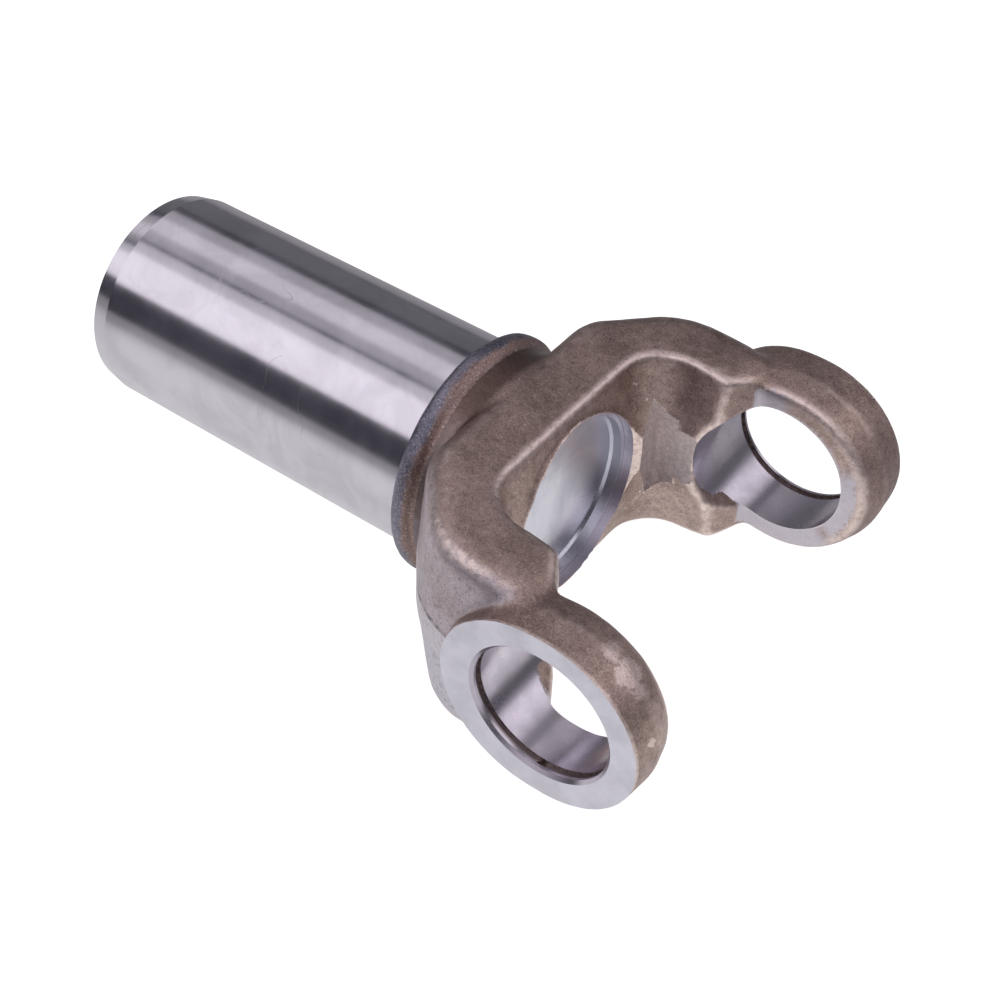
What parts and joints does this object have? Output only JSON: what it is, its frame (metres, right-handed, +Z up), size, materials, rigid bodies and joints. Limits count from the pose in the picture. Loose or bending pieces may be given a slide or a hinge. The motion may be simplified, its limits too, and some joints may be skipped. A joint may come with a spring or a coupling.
{
  "type": "drive-shaft slip yoke",
  "caption": "Forged steel slip yoke for a drive shaft: splined ground barrel, open fork with bored ears and snap-ring grooves, and a pressed-in expansion plug",
  "frame": {"origin": "centre of the cross bore, midway between the ears", "axes": "+X out of the open fork, away from the barrel; +Y along the cross bore; +Z up, square to both, one flat side of the fork"},
  "size_m": [0.1438, 0.0868, 0.048],
  "materials": {
    "forged_steel": "forging scale with ground and bored faces",
    "plated_steel": "pressed, bright zinc"
  },
  "bodies": {
    "root": {"yoke": "forged_steel", "expansion_plug": "plated_steel"}
  },
  "joints": []
}
